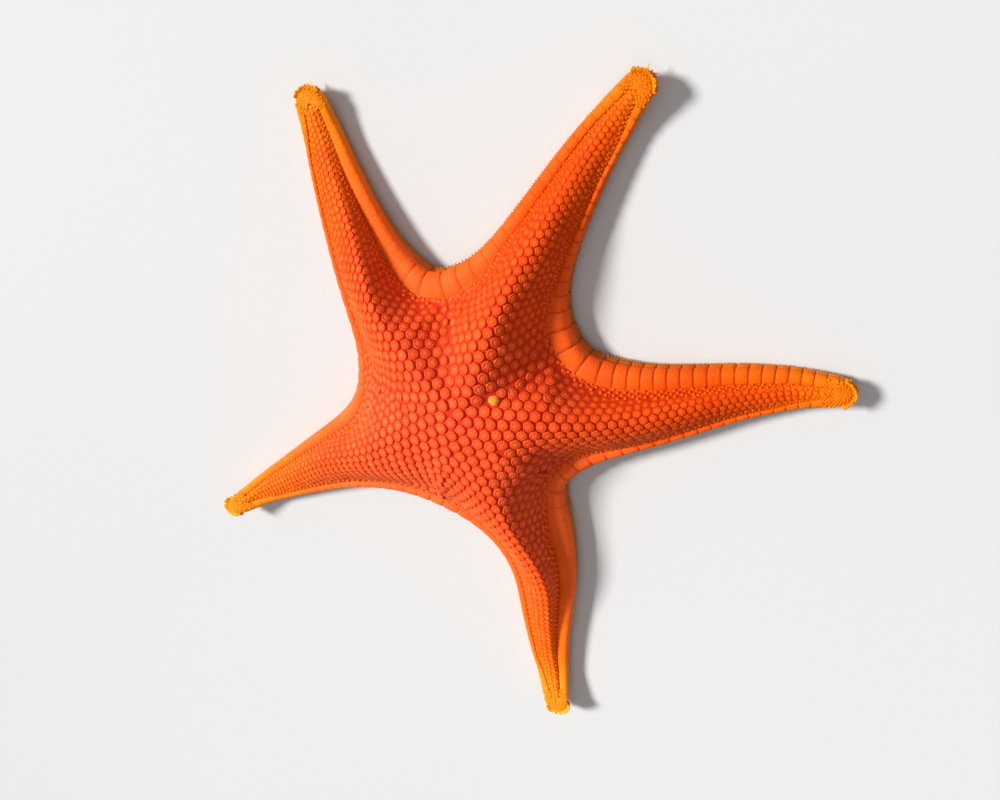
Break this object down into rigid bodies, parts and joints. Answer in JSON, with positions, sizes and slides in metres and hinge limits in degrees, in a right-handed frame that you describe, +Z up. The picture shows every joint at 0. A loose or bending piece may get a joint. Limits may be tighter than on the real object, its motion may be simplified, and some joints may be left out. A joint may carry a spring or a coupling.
{
  "type": "vermilion sea star",
  "caption": "Life-size still model of a live sea star at rest: domed disc, bent tapering arms edged with marginal plates, upturned tips, sieve plate and grooved underside.",
  "frame": {"origin": "middle of the bounding box in X and Y, on the floor the animal rests on", "axes": "+Z up from the floor; +X roughly along the arm named right; +Y towards the two arms named upper"},
  "size_m": [0.1534, 0.1562, 0.0208],
  "materials": {
    "disc_skin": "satin, close-set flat-topped plates",
    "arm_skin": "satin, close-set flat-topped plates",
    "tip_skin": "satin, fine granules",
    "sieve_plate": "matt, finely furrowed"
  },
  "bodies": {
    "root": {"disc": "disc_skin", "arm_upper_right": "arm_skin", "arm_upper_left": "arm_skin", "arm_left": "arm_skin", "arm_lower": "arm_skin", "arm_right": "arm_skin", "tip_upper_right": "tip_skin", "tip_upper_left": "tip_skin", "tip_left": "tip_skin", "tip_lower": "tip_skin", "tip_right": "tip_skin", "madreporite": "sieve_plate"}
  },
  "joints": []
}
